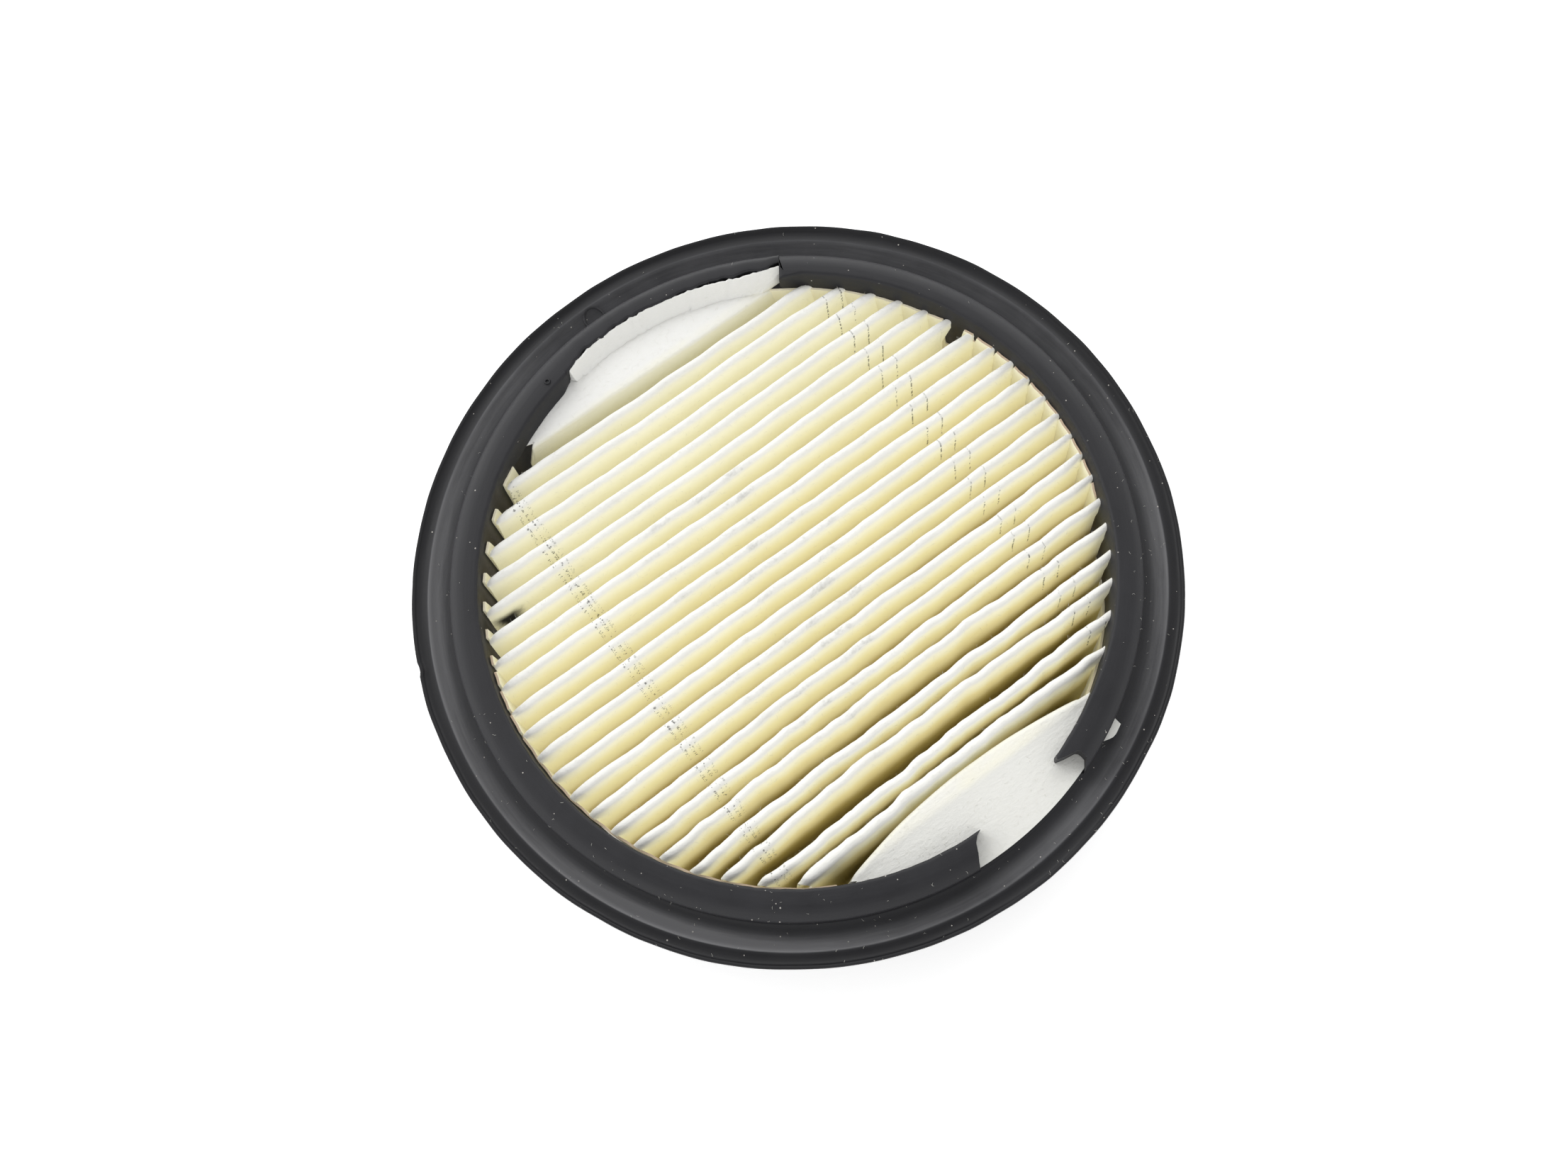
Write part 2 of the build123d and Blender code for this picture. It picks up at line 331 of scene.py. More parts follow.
def filterPaper():
    material, tree, shader, place, (x, y, z) = newMaterial("filterPaper")
    top = paperHigh.z
    mottle = useGroup(tree, softMottle, Vector=place, Size_mm=26.0, Contrast=1.5)
    cloud = useGroup(tree, softMottle, Vector=place, Size_mm=5.0, Contrast=1.4)
    grain = useGroup(tree, fineGrain, Vector=place, Size_mm=0.7, Stretch=2.5)
    depth = top - z + (mottle - 0.5) * 2.4
    onFlap = smoothRamp(abs(y), 71.5, 74.0)
    nearFront = smoothRamp(y, -25.0, -60.0)
    # painted shade and light thrown between the pleats: the paper is coloured by its depth below the crests
    colour = mixColour(tree, smoothRamp(depth, 0.7, 2.8), paperLook["crest"], paperLook["flank"])
    colour = mixColour(tree, smoothRamp(depth, 3.5, 9.5), colour, paperLook["deepShade"])
    towardsBack = smoothRamp(y, 8.0, 50.0)
    colour = mixColour(tree, towardsBack * smoothRamp(depth, 2.0, 6.0) * 0.6, colour, paperLook["paleBackShade"])
    colour = mixColour(tree, smoothRamp(depth, 14.0, 25.0), colour, paperLook["bottom"])
    colour = mixColour(tree, nearFront * smoothRamp(depth, 6.0, 11.0), colour, paperLook["frontLowShade"])
    # painted light and shade: the same paper is lighter on the back flap than on the front one
    flapColour = mixColour(tree, smoothRamp(y, -10.0, 10.0), paperLook["flap"], paperLook["backFlapLit"])
    colour = mixColour(tree, onFlap, colour, flapColour)
    colour = mixColour(tree, cloud * 0.15, colour, paperLook["stain"])

    # guide lines printed across the sheet before it was folded
    wander = useGroup(tree, softMottle, Vector=place, Size_mm=9.0, Contrast=1.6) - 0.5
    dots = useGroup(tree, flecks, Vector=place, Spacing_mm=0.7, Radius_mm=0.55, Share=0.85)
    ink = None
    for lineX in paperLook["rightLines"]:
        away = abs(x - lineX - paperLook["rightLean"] * y + wander * 0.8)
        stroke = smoothRamp(away, 0.30, 0.14) * dots * smoothRamp(depth, *paperLook["inkReach"])
        stroke = stroke * (0.45 + 0.55 * smoothRamp(depth, 0.4, 1.4))
        ink = stroke if ink is None else ink.to("MAXIMUM", stroke)
    specks = useGroup(tree, flecks, Vector=place, Spacing_mm=0.62, Radius_mm=0.36, Share=0.62)
    for lineX, darkness in paperLook["leftLines"]:
        away = abs(x - lineX - paperLook["leftLean"] * y + wander * 0.5)
        row = smoothRamp(away, 0.62, 0.3) * specks * smoothRamp(depth, *paperLook["inkReach"])
        ink = ink.to("MAXIMUM", row * darkness)
    scuffed = smoothRamp(((x + 6.0) * (x + 6.0) + y * y * 0.25).to("SQRT"), 36.0, 14.0)
    scuffed = scuffed * smoothRamp(depth, 1.6, 0.6) * smoothRamp(cloud, 0.5, 0.8)
    ink = ink.to("MAXIMUM", scuffed * 0.35)
    loose = useGroup(tree, flecks, Vector=place, Spacing_mm=9.0, Radius_mm=0.13, Share=0.4)
    ink = ink.to("MAXIMUM", loose * 0.7)
    colour = mixColour(tree, ink * 0.8 * (1 - onFlap * 0.6), colour, paperLook["ink"])

    smearX, smearY = paperLook["smearPlace"]
    away = abs(x - smearX) * 0.2 + abs(y - smearY) * 0.35 + cloud * 0.7
    smeared = smoothRamp(away, 1.75, 0.9) * smoothRamp(depth, 4.2, 8.5)
    colour = mixColour(tree, smeared, colour, paperLook["smear"])
    plugAll(shader, Base_Color=colour, Roughness=0.84 + cloud * 0.12, Specular_IOR_Level=paperLook["specular"])

    # the folded sheet lets some light through, most of it half-way down the pleats
    lit = smoothRamp(depth, -1.6, 4.0) * (1 - onFlap) * (1 - 0.1 * nearFront)
    sinks = smoothRamp(depth, 13.0 - 3.5 * nearFront, 26.0 - 9.5 * nearFront)
    lit = lit * (1 - (0.7 + 0.25 * nearFront) * sinks)
    lit = lit * (0.35 + 0.65 * smoothRamp(abs(y), 72.0, 60.0))
    glow = mixColour(tree, smoothRamp(depth, 1.0, 5.0), paperLook["topGlow"], paperLook["glow"])
    glow = mixColour(tree, smoothRamp(depth, 10.0, 22.0), glow, paperLook["lowGlow"])
    glow = mixColour(tree, lit * (1 - ink) * (1 - smeared), (0, 0, 0), glow)
    plugAll(shader, Emission_Color=glow, Emission_Strength=paperLook["glowStrength"])
    bumpFrom(tree, shader, grain + cloud * 0.3, paperLook["grainDepth"])
    return material


stripLook = {
    "face": (0.76, 0.735, 0.58),
    "worn": (0.70, 0.66, 0.48),
    "cutEdge": (0.52, 0.38, 0.27),  # dried glue along the cut top edge
    "shade": (0.46, 0.45, 0.26),  # towards the front at the right
    "shadeAt": (-33.0, -37.0),
    "glow": (0.95, 0.91, 0.68, 1),  # light that comes through the strip
    "glowStrength": 0.13,
    "specular": 0.25,
}


def stripPaper():
    material, tree, shader, place, (x, y, z) = newMaterial("stripPaper")
    mottle = useGroup(tree, softMottle, Vector=place, Size_mm=8.0, Contrast=1.8)
    grain = useGroup(tree, fineGrain, Vector=place, Size_mm=0.6)
    edge = tree.nodes.new("ShaderNodeNewGeometry")
    up = out(addNode(tree, "ShaderNodeSeparateXYZ", Vector=out(edge, "Normal")), 2)
    colour = mixColour(tree, mottle * 0.6, stripLook["face"], stripLook["worn"])
    glued = smoothRamp(up, 0.25, 0.7) * (0.25 + 0.75 * smoothRamp(y, 40.0, 28.0))
    colour = mixColour(tree, glued, colour, stripLook["cutEdge"])
    shaded = smoothRamp(y, *stripLook["shadeAt"]) * (x > 0) * 0.55
    colour = mixColour(tree, shaded, colour, stripLook["shade"])
    plugAll(shader, Base_Color=colour, Roughness=0.75 + mottle * 0.2, Specular_IOR_Level=stripLook["specular"],
            Emission_Color=stripLook["glow"], Emission_Strength=stripLook["glowStrength"])
    bumpFrom(tree, shader, grain, 0.12)
    return material


def lintFibre(name, colour):
    material, tree, shader, place, _ = newMaterial(name)
    mottle = useGroup(tree, softMottle, Vector=place, Size_mm=3.0, Contrast=2.0)
    faded = tuple(part * 0.8 for part in colour)
    plugAll(shader, Base_Color=mixColour(tree, mottle, colour, faded), Roughness=0.95)
    return material


# the rubber rim is one moulding: a half section carried round the axis
rim = {
    "lipWidth": 4.3,
    "channelWidth": 6.8,
    "bandWidth": 8.1,
    "skirtInset": 1.6,
    "bandTop": rimHigh.z,
    "lipTop": 32.0,
    "flangeBottom": 28.5,
    "crestTop": 31.45,
    "channelLow": 29.35,
    "channelFoot": 29.7,
    "wallTop": 35.6,
    "landWidth": 3.6,
    "flapFloor": 31.6,
    "step": 0.75,  # degrees between the sections
    "lipWave": 0.3,  # unevenness of the lip, the channel's crest and the opening
    "crestWave": 0.12,
    "bandWave": 0.12,
    "windowRough": 0.85,  # the same for the band's torn edge in the back window
    "frontSink": 1.2,  # the band lies low and flat in the front window
    "frontFlatten": 0.18,
    "frontWindow": (-95.5, -71.0),
    "backWindow": (55.2, 101.4),
    "leanReach": 6.0,  # degrees over which a window end's outline dies out
    # how far each end of a window leans into it, as (radius, degrees)
    "frontFirstEnd": [(83.3, 3.3), (84.0, 2.3), (85.6, 1.3), (88.0, 0.7), (90.5, -0.1), (91.4, -0.1)],
    "frontLastEnd": [(83.3, -2.7), (84.1, -3.4), (85.2, -2.6), (85.7, -1.5), (86.6, -0.2), (88.0, 0.3),
                     (89.9, -0.1), (91.0, -1.3), (91.4, -1.8)],
    "backFirstEnd": [(83.3, 0.9), (84.7, -0.45), (87.1, 0.7), (91.4, 0.7)],
    "backLastEnd": [(83.3, 0.0), (91.4, 0.0)],
    # inner edge of the band over the back flap, as (degrees, radius)
    "backEdge": [(55, 87.8), (59, 86.6), (70, 85.5), (90, 85.2), (97, 84.8), (101.4, 84.0)],
    # rubber that has crept inwards over the back flap, as (degrees, mm)
    "creep": [(101.5, 0.0), (104, 1.5), (112, 1.7), (120, 1.4), (127, 0.0)],
    # the opening is a little wider here, where the pleats run into the rubber
    "relief": [(-62, 0.0), (-48, 0.8), (20, 0.9), (52, 1.1), (55, 0.0)],
    "nick": (157.9, 0.8, 0.6),  # small nick in the lip: place and half width in degrees, depth
}


def between(table, value):
    # straight line through a short list of (place, value) pairs
    if value <= table[0][0]:
        return table[0][1]
    for (firstPlace, first), (lastPlace, last) in zip(table, table[1:]):
        if value <= lastPlace:
            return first + (last - first) * (value - firstPlace) / (lastPlace - firstPlace)
    return table[-1][1]


def rimSection():
    # corners of the half section as (radius, height), inner bottom edge first
    opening = rimHigh.x - rim["lipWidth"] - rim["channelWidth"] - rim["bandWidth"]
    band = opening + rim["bandWidth"]
    socket = band - rim["skirtInset"]
    crest = band + rim["channelWidth"]
    edge, lipTop, under, crestTop = rimHigh.x, rim["lipTop"], rim["flangeBottom"], rim["crestTop"]
    section = [
        (opening, 0.4), (opening + 0.35, 0.0), (socket - 3.0, 0.0), (socket - 1.2, 0.1), (socket - 0.2, 1.0),
        *[(socket, height) for height in (1.5, 6, 12, 18, 24, 27.6)],
        (socket + 0.2, under - 0.25), (socket + 0.8, under), (band + 1.5, under), (crest - 2, under),
        (crest, under + 0.05), (crest + 1.1, under + 0.4), (crest + 2.2, under + 0.95),
        (crest + 3.3, under + 1.7), (edge - 0.25, under + 2.35), (edge, under + 2.7),
        (edge, lipTop - 0.25), (edge - 0.15, lipTop), (edge - 0.75, lipTop),
        (edge - 0.95, lipTop - 0.12), (edge - 1.15, lipTop - 0.4), (edge - 1.8, lipTop - 0.62),
        (edge - 2.8, lipTop - 0.72),
        (crest + 0.6, crestTop - 0.1), (crest + 0.25, crestTop), (crest, crestTop),
        (crest - 0.25, crestTop - 0.08), (crest - 0.9, crestTop - 0.58),
    ]
    for share in (0.23, 0.36, 0.5, 0.68, 0.84):
        radius = crest - share * rim["channelWidth"]
        sag = 4 * share * (1 - share) * (crestTop - rim["channelLow"] - 1.0)
        section.append((radius, crestTop + (rim["channelFoot"] - crestTop) * share - sag))
    section += [(band + 0.3, rim["channelFoot"]), (band, rim["channelFoot"] + 0.25)]
    bandStart = len(section)
    top, wallTop = rim["bandTop"], rim["wallTop"]
    section += [(band, 32.0), (band, 34.0), (band, wallTop - 0.5), (band - 0.12, wallTop),
                (band - 0.5, wallTop + 0.42)]
    for share, rise in ((0.3, 0.55), (0.55, 0.8), (0.78, 0.95)):
        radius = band - 0.5 - share * (rim["bandWidth"] - rim["landWidth"] - 0.5)
        section.append((radius, wallTop + 0.42 + rise * (top - wallTop - 0.42)))
    section += [(opening + rim["landWidth"], top), (opening + 2.2, top), (opening + 0.9, top),
                (opening + 0.5, top - 0.04), (opening + 0.15, top - 0.25), (opening, top - 0.6)]
    section += [(opening, height) for height in (35.0, 32.7)]
    bandEnd = len(section)
    section += [(opening, height) for height in (rim["flapFloor"] - 0.1, 28.0, 20.0, 10.0, 3.0)]
    return section, bandStart, bandEnd, opening, band


def rimAngles():
    # section angles in degrees, with a close pair at each end of each window
    ends = [end for name in ("frontWindow", "backWindow") for end in rim[name]]
    angles = [index * rim["step"] - 180 for index in range(round(360 / rim["step"]))]
    angles = [angle for angle in angles if all(abs(angle - end) > 0.3 for end in ends)]
    for end in ends:
        angles += [end - 0.12, end - 0.02, end + 0.02, end + 0.12]
    return sorted(angles)


def windowLean(angle, radius):
    # degrees by which a section point moves so that a window's end gets its outline
    ends = [(rim["frontWindow"][0], rim["frontFirstEnd"]), (rim["frontWindow"][1], rim["frontLastEnd"]),
            (rim["backWindow"][0], rim["backFirstEnd"]), (rim["backWindow"][1], rim["backLastEnd"])]
    lean = 0
    for end, outline in ends:
        share = max(0, 1 - max(0, abs(angle - end) - 0.3) / rim["leanReach"])
        lean += between(outline, radius) * share
    return lean


def inside(angle, name):
    return rim[name][0] < angle < rim[name][1]


def joinRings(mesh, rings):
    # faces between neighbouring loops of points, and from the last loop to the first
    for first, second in zip(rings, rings[1:] + rings[:1]):
        for index in range(len(first)):
            nextIndex = (index + 1) % len(first)
            mesh.faces.new((first[index], second[index], second[nextIndex], first[nextIndex]))
    bmesh.ops.recalc_face_normals(mesh, faces=mesh.faces)


def bandPoint(angle, radius, height, rough, opening, band):
    # a point of the band, moved to make a window or the uneven edge of the opening
    if inside(angle, "backWindow"):
        edge = between(rim["backEdge"], angle) + rough * rim["windowRough"]
        radius = band - (band - radius) * (band - edge) / (band - opening)
    elif inside(angle, "frontWindow"):
        height = rim["flapFloor"] - rim["frontSink"] + (height - rim["flapFloor"]) * rim["frontFlatten"]
    elif radius < opening + 1:
        radius += rough * rim["bandWave"]
        if height > rim["flapFloor"]:
            over = between([(rim["flapFloor"], 1.0), (35.5, 0.35), (38.0, 0.0)], height)
            radius += between(rim["relief"], angle) * (1 - over) - between(rim["creep"], angle) * over
    return radius, height


def makeRim():
    section, bandStart, bandEnd, opening, band = rimSection()
    mesh = bmesh.new()
    rings = []
    for angle in rimAngles():
        turn = math.radians(angle)
        around = Vector((math.cos(turn), math.sin(turn), 0))
        wave = noise.noise(around * 4.5) + 0.5 * noise.noise(around * 13)
        dip = noise.noise(around * 3.1 + Vector((5, 0, 0)))
        rough = noise.noise(around * 24) + 0.6 * noise.noise(around * 60)
        nickPlace, nickHalf, nickDepth = rim["nick"]
        nick = nickDepth * max(0, 1 - abs(angle - nickPlace) / nickHalf)
        ring = []
        for index, (radius, height) in enumerate(section):
            onLip = min(1, max(0, (radius - 98) / 3)) if height > 28 else 0
            if bandStart <= index < bandEnd:
                radius, height = bandPoint(angle, radius, height, rough, opening, band)
            lean = windowLean(angle, radius) if index >= bandStart - 1 and index < bandEnd else 0
            radius += onLip * (wave * rim["lipWave"] - (nick if radius > 100 else 0))
            height += onLip * dip * rim["lipWave"]
            if index < bandStart and 27 < height < 30:
                height += rim["crestWave"] * wave
            place = math.radians(angle + lean)
            corner = (radius * math.cos(place) * mm, radius * math.sin(place) * mm, height * mm)
            ring.append(mesh.verts.new(corner))
        rings.append(ring)
    joinRings(mesh, rings)
    return plainPiece("sealRim", mesh, 38)


def plainPiece(name, source, sharpAngle):
    # a bmesh made into an object, smooth except across sharp edges
    data = bpy.data.meshes.new(name)
    source.to_mesh(data)
    source.free()
    data.polygons.foreach_set("use_smooth", [True] * len(data.polygons))
    data.set_sharp_from_angle(angle=math.radians(sharpAngle))
    piece = bpy.data.objects.new(name, data)
    bpy.context.scene.collection.objects.link(piece)
    print(name, len(data.polygons), "faces")
    return piece


# small raised rings that the mould leaves on the rubber
mouldMarks = {
    "places": [(0.1, 94.8, 2.9), (-22.0, 83.0, 0.65)],  # x, y and radius of each ring
    "lineWidth": 0.62,
    "lineHeight": 0.42,
    "sides": 56,
}


def makeMouldMarks():
    section, _, bandEnd, _, _ = rimSection()
    upper = sorted(point for point in section[:bandEnd] if 84 < point[0] < 100 and point[1] > 29)
    mesh = bmesh.new()
    for centreX, centreY, size in mouldMarks["places"]:
        rings = []
        for side in range(mouldMarks["sides"]):
            turn = 2 * math.pi * side / mouldMarks["sides"]
            ring = []
            for offset, lift in ((-0.5, -0.1), (-0.25, 1.0), (0.25, 1.0), (0.5, -0.1)):
                reach = size + offset * mouldMarks["lineWidth"]
                x, y = centreX + reach * math.cos(turn), centreY + reach * math.sin(turn)
                height = between(upper, math.hypot(x, y)) + lift * mouldMarks["lineHeight"]
                ring.append(mesh.verts.new((x * mm, y * mm, height * mm)))
            rings.append(ring)
        joinRings(mesh, rings)
    return plainPiece("mouldMarks", mesh, 50)


# the paper is one sheet folded to and fro, made by a tree from a flat grid
pleats = {
    "Crests": 21,
    "First Crease": -73.9,  # where the front flap meets the first flank, across the pleats
    "Pitch": 6.627,
    "Crest Height": paperHigh.z,
    "Valley Height": paperLow.z,
    "Flap Height": 32.5,
    "Fold Radius": 0.95,
    "Wall": 0.6,
    "Pack Radius": paperHigh.x + 0.4,
    "Flap Reach": paperHigh.y,
    "Skew": -0.0065,  # turn of the whole pack
    "Fan": -0.00036,  # pleats drift apart towards the left
    "Spacing Drift": 0.75,
    "Wave Depth": 0.34,
    "Front Wave": 0.55,  # added to the wave towards the last pleats
    "Pairing": 0.8,  # neighbouring crests near the front lean together
    "Front Arch": 1.3,  # crests near the front bow backwards at the middle
    "Crease Bow": 4.5,  # the same for the crease of the front flap
    "Right Lift": 1.2,  # takes back some of the fan at the right
    "Crest Sag": 0.45,
    "Corner Drop": 1.3,
    "Right Tip": 2.4,  # crests reach out over the strip at the right
    "Right Reach": 1.7,  # back half: pleats run on into the rubber at the right
    "Last Reach": 1.8,  # the last pleat at the back runs on further
    "Left Inset": 1.2,  # and the pleats stop short of the rubber at the left
    "Bite At": 30.5,  # one torn pleat end at the right
    "Bite Depth": 3.0,
    "Swing": 1.13,  # flaps spread a little further round than their creases
    "Score At": -81.2,  # a scored line across the front flap, which tilts down behind it
    "Score Depth": 0.22,
    "Front Tilt": 0.05,
    "Sliver": 2.9,  # a bare sliver of the front flap, out beside its window
    "Margin Fold": 82.4,  # fold of the back flap's turned-up margin, as a radius
    "Margin Edge": 85.1,
    "Margin Rise": 5.3,
    "Margin Torn": 1.1,
    "Groove At": 82.0,
    "Groove Depth": 0.45,
    "Seed": 4.0,
}


def pleatedSheetTree():
    inputs = [(name, "Int" if name == "Crests" else "Float") for name in pleats]
    tree, given = newTree("pleatedSheet", inputs + [("Finish", "Material")])
    arc, flank, flapColumns, rows = 6, 3, 12, 107               # points round a fold, down a flank, and so on
    fold = arc + flank
    lastFold = given("Crests") * 2 + 2
    columns = lastFold * fold + arc + 2 * flapColumns
    grid = addNode(tree, "GeometryNodeMeshGrid", Size_X=1.0, Size_Y=1.0, Vertices_X=columns, Vertices_Y=rows)
    index = out(tree.nodes.new("GeometryNodeInputIndex"))
    column = (index / rows).to("FLOOR")
    v = (index - column * rows) / ((rows - 1) / 2) - 1.0        # -1 to 1 along a pleat
    side = v.to("SIGN")

    # the fold that a column belongs to, and how far round it
    step = (column - flapColumns).to("MAXIMUM", 0.0).to("MINIMUM", lastFold * fold + (arc - 1))
    number = (step / fold + 0.001).to("FLOOR")
    stage = step - number * fold
    nextNumber = number + 1
    radius, half = given("Fold Radius"), given("Wall") / 2
    rise = given("Crest Height") - given("Valley Height") - given("Fold Radius") * 2 - given("Wall")
    pitch = given("Pitch") / 2
    reach = (rise * rise + pitch * pitch).to("SQRT")
    sweep = math.pi / 2 + (rise / pitch).to("ARCTANGENT") - (2 * radius / reach).to("ARCCOSINE")
    sweep = sweep.to("MINIMUM", math.pi / 2 - 0.02)

    def centreHeight(fold):
        valley = (fold / 2).to("FRACT") > 0.25
        flapEnd = (fold < 0.5) + (fold > lastFold - 0.5)
        crest = pick(flapEnd, given("Flap Height"), given("Crest Height")) - radius - half
        return pick(valley, given("Valley Height") + radius + half, crest), 1 - 2 * valley

    height, upDown = centreHeight(number)
    nextHeight, nextUpDown = centreHeight(nextNumber)
    firstTurn = pick(number < 0.5, 0.0, -1.0)
    lastTurn = pick(number > lastFold - 0.5, 0.0, 1.0)
    turn = firstTurn + (lastTurn - firstTurn) * (stage / (arc - 1)).to("MINIMUM", 1.0)
    plump = 0.93 + 0.13 * ripple(tree, v * 3.0, number * 2.7, given("Seed"))
    endPinch = smoothRamp(abs(v), 0.93, 1.0)
    bend = radius * pick(upDown > 0, plump * (1 - 0.35 * endPinch), 1.0)
    angle = sweep * turn
    along = smoothRamp(stage, arc - 1.0, arc - 0.99) * ((stage - (arc - 1)) / (flank + 1))
    centre = given("First Crease") + number * pitch
    middleY = centre + pitch * along
    arcY = centre + bend * angle.to("SINE")
    arcZ = height + upDown * bend * angle.to("COSINE")
    nextY = given("First Crease") + nextNumber * pitch - radius * sweep.to("SINE")
    nextZ = nextHeight + nextUpDown * radius * sweep.to("COSINE")
    y = arcY + (nextY - arcY) * along
    z = arcZ + (nextZ - arcZ) * along

    # ends of the pleats on the round of the pack, and the slight fan of the pack
    slope = given("Skew") + given("Fan") * y
    length = (given("Pack Radius") * given("Pack Radius") - y * y).to("SQRT")
    endY = y + slope * side * length
    length = (given("Pack Radius") * given("Pack Radius") - endY * endY).to("SQRT")
    rightBack = smoothRamp(y, 29.0, 36.0) * (v > 0)
    leftBack = smoothRamp(y, 34.0, 48.0) * (v < 0)
    atCrest = smoothRamp(z, given("Crest Height") - 6, given("Crest Height") - 1)
    tip = smoothRamp(v, 0.96, 1.0) * atCrest * given("Right Tip")
    bite = smoothRamp(abs(y - given("Bite At")), 3.2, 2.0) * smoothRamp(z, 33.0, 31.6)
    hollow = smoothRamp(z, 34.0, 31.5) * (1 - 0.5 * smoothRamp(z, 31.0, 25.0))
    packEdge = given("Pack Radius") + rightBack * smoothRamp(v, 0.88, 1.0) * given("Right Reach")
    packEdge = packEdge + smoothRamp(y, 61.0, 67.0) * smoothRamp(v, 0.88, 1.0) * given("Last Reach")
    packEdge = packEdge + tip * (1 - rightBack) - bite * smoothRamp(v, 0.95, 0.985) * given("Bite Depth")
    packEdge = packEdge - leftBack * smoothRamp(v, -0.88, -1.0) * given("Left Inset") * (0.3 + hollow)
    x = v * (packEdge * packEdge - endY * endY).to("SQRT")
    y = y + slope * x

    # hand-folded unevenness, strongest at the crests
    lift = smoothRamp(z, given("Valley Height") - 6, given("Crest Height") - 1)
    inPack = smoothRamp(abs(y), 73.5, 66.0)
    front = smoothRamp(y, -8.0, -52.0)
    drift = ripple(tree, x * 0.012, middleY * 0.13, given("Seed") + 7) * given("Spacing Drift")
    wave = ripple(tree, x * 0.1, middleY * 0.11, given("Seed") + 19, 1.6)
    wave = wave * (given("Wave Depth") + given("Front Wave") * front)
    wave = wave + ripple(tree, x * 0.3, number * 1.7, given("Seed") + 43) * (0.05 + 0.16 * front)
    crestNumber = ((number + (stage > arc + 0.5)) / 2).to("FLOOR")
    pair = 2 * ((crestNumber / 2).to("FRACT") > 0.25) - 1
    middle = smoothRamp(abs(x + 4.0), 78.0, 12.0)
    together = (pair * given("Pairing") + given("Front Arch")) * front * middle
    straighter = smoothRamp(x, -10.0, 55.0) * smoothRamp(y, 8.0, 32.0) * given("Right Lift")
    y = y + inPack * (drift * (0.35 + lift * 0.65) + (wave + together) * lift * lift + straighter)
    y = y + given("Crease Bow") * (1 - v * v) * (number < 0.5) * lift * lift
    sag = ripple(tree, x * 0.045, middleY * 0.2, given("Seed") + 31) * given("Crest Sag")
    rightFront = (v > 0) * (1 - rightBack)
    corner = smoothRamp(length - abs(x), 2.6 + 0.6 * rightBack - 2.0 * rightFront,
                        -3.6 * rightBack - 1.6 * rightFront)
    drop = given("Corner Drop") + 1.6 * rightBack - 1.2 * rightFront
    z = z + inPack * lift * (sag - 0.3) - corner * corner * drop * lift * inPack

    # flat flaps at both ends, spread from the crease out to the round edge
    atFront = column < flapColumns - 0.5
    atBack = column > columns - flapColumns - 0.5
    frontSpread = (flapColumns - column) / flapColumns
    backSpread = (column - (columns - 1 - flapColumns)) / flapColumns
    spread = pick(atFront, frontSpread, backSpread).to("MAXIMUM", 0.0).to("MINIMUM", 1.0)
    spread = 1 - (1 - spread).to("POWER", 1.7)
    onFlap = atFront + atBack
    swing = (length / given("Pack Radius")).to("ARCSINE") * given("Swing") * v * 57.296
    degrees = pick(atFront, -90 + swing, 90 - swing)
    windowFront = smoothRamp(degrees, -96.2, -95.6) * smoothRamp(degrees, -70.4, -71.0)
    sliver = smoothRamp(degrees, -67.9, -64.8) * smoothRamp(degrees, -62.3, -62.7)
    windowBack = smoothRamp(degrees, 53.8, 54.6) * smoothRamp(degrees, 101.6, 100.8)
    torn = ripple(tree, degrees * 1.6, 0.0, given("Seed"), 4.0) * given("Margin Torn")
    backEdge = given("Margin Edge") + 2.3 * smoothRamp(degrees, 64.0, 54.0)
    backEdge = backEdge - 1.3 * smoothRamp(degrees, 92.0, 102.0) + torn
    frontEdge = given("Flap Reach") + 0.3 * windowFront + given("Sliver") * sliver
    edge = pick(atFront, frontEdge, pick(windowBack, backEdge, given("Flap Reach") - 1.5))
    turnIn = degrees * (math.pi / 180)
    rimX, rimY = edge * turnIn.to("COSINE"), edge * turnIn.to("SINE")
    flapX = x + (rimX - x) * spread
    flapY = y + (rimY - y) * spread
    reachOut = (flapX * flapX + flapY * flapY).to("SQRT")
    around = mathStep(tree, "ARCTAN2", flapY, flapX) * (180 / math.pi)
    windowBack = windowBack * smoothRamp(around, 54.6, 55.6) * smoothRamp(around, 101.2, 100.5)
    climb = ((reachOut - given("Margin Fold")) / (backEdge - given("Margin Fold"))).to("MAXIMUM", 0.0)
    margin = climb.to("POWER", 0.75) * windowBack * atBack * given("Margin Rise")
    groove = smoothRamp(abs(reachOut - given("Groove At")), 1.1, 0.0) * given("Groove Depth")
    pastScore = flapY - given("Score At")
    score = smoothRamp(abs(pastScore - flapX * 0.02), 1.2, 0.0) * given("Score Depth")
    tilt = pastScore.to("MAXIMUM", 0.0) * given("Front Tilt")
    flapZ = given("Flap Height") - half + margin - groove * windowBack * atBack - (score + tilt) * atFront
    flapZ = flapZ + ripple(tree, flapX * 0.05, flapY * 0.05, given("Seed") + 3) * 0.12 * spread
    x = pick(onFlap, flapX, x)
    y = pick(onFlap, flapY, y)
    z = pick(onFlap, flapZ, z)

    place = addNode(tree, "ShaderNodeCombineXYZ", X=x * mm, Y=y * mm, Z=z * mm)
    moved = addNode(tree, "GeometryNodeSetPosition", Geometry=out(grid, "Mesh"), Position=out(place))
    closeTree(tree, out(moved), given("Finish"))
    return tree


